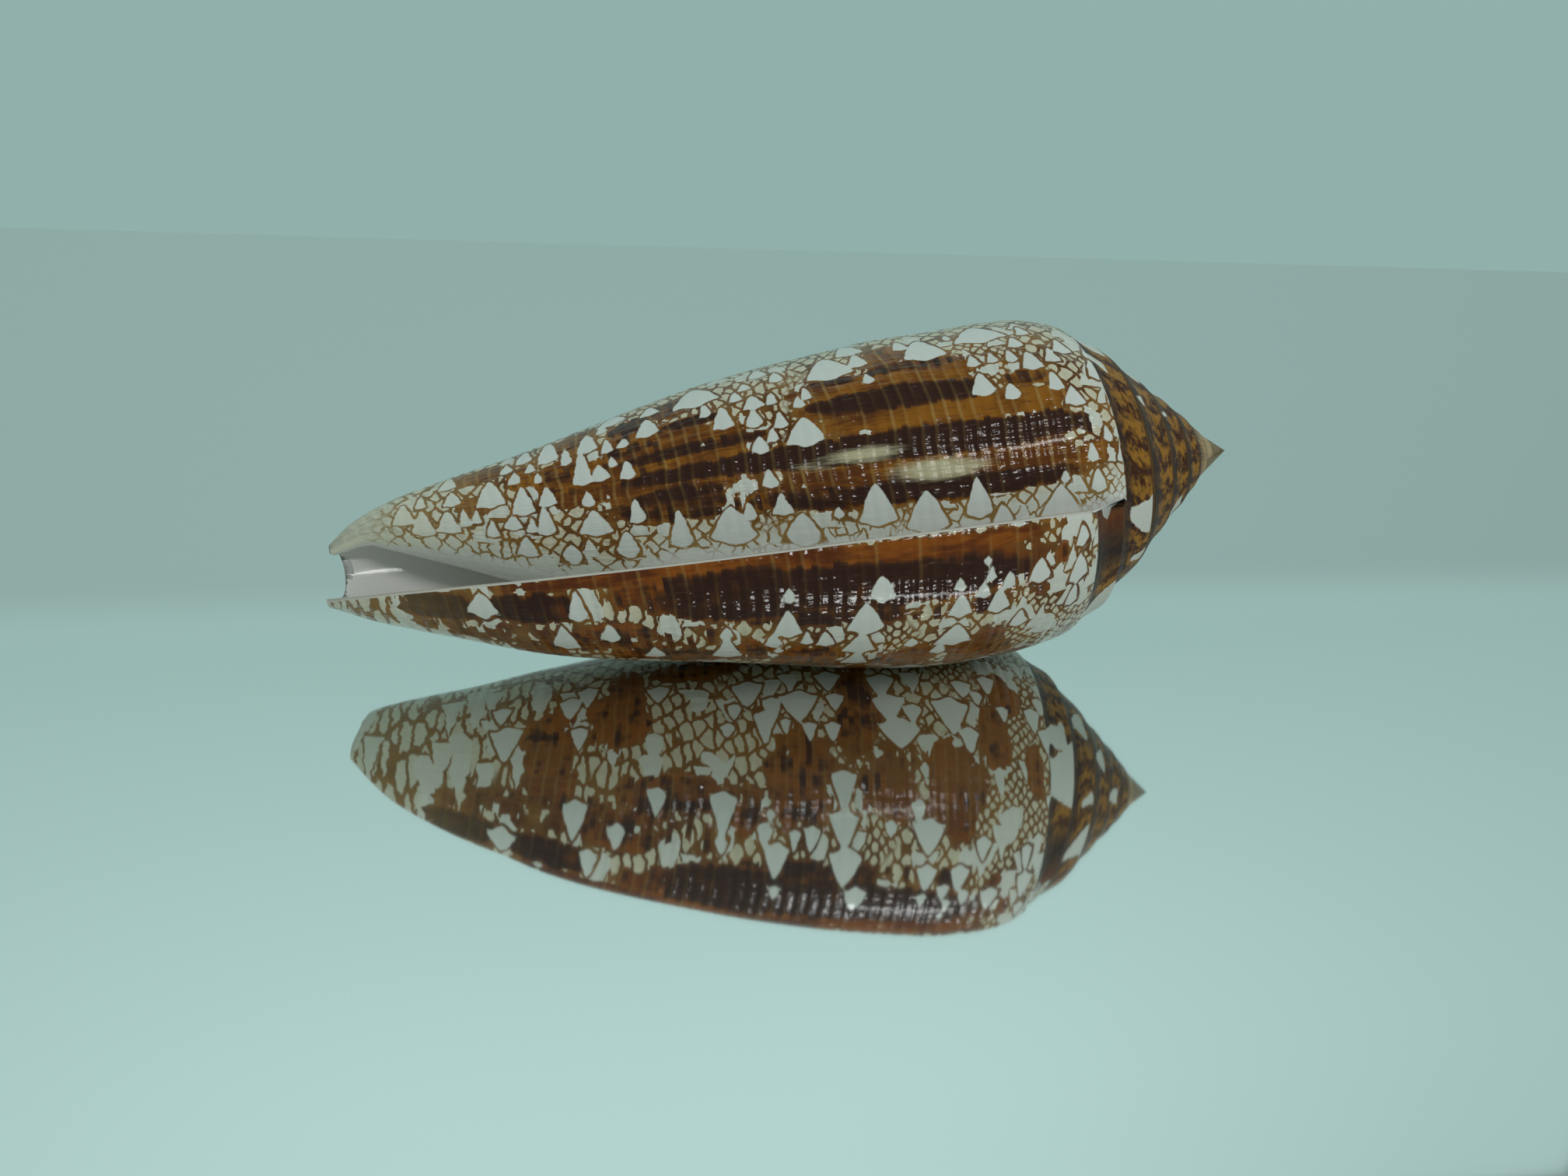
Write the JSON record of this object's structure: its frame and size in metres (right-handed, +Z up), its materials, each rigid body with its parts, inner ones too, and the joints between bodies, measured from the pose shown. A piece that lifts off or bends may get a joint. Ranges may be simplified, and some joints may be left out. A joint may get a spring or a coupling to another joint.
{
  "type": "cone shell",
  "caption": "Slender spiral cone shell with a low stepped spire, a long open slit along one side and a glossy net-patterned surface, lying on its side.",
  "frame": {"origin": "middle of the footprint, at the level of the surface that the shell lies on", "axes": "+X along the shell's length towards the pointed spire, -Y towards the lip and the open slit, +Z up"},
  "size_m": [0.0796, 0.0334, 0.0302],
  "materials": {
    "shell_glaze": "glossy natural shell, cream white under a net of fine brown lines with ochre and dark brown bands"
  },
  "bodies": {
    "root": {"shell": "shell_glaze"}
  },
  "joints": []
}
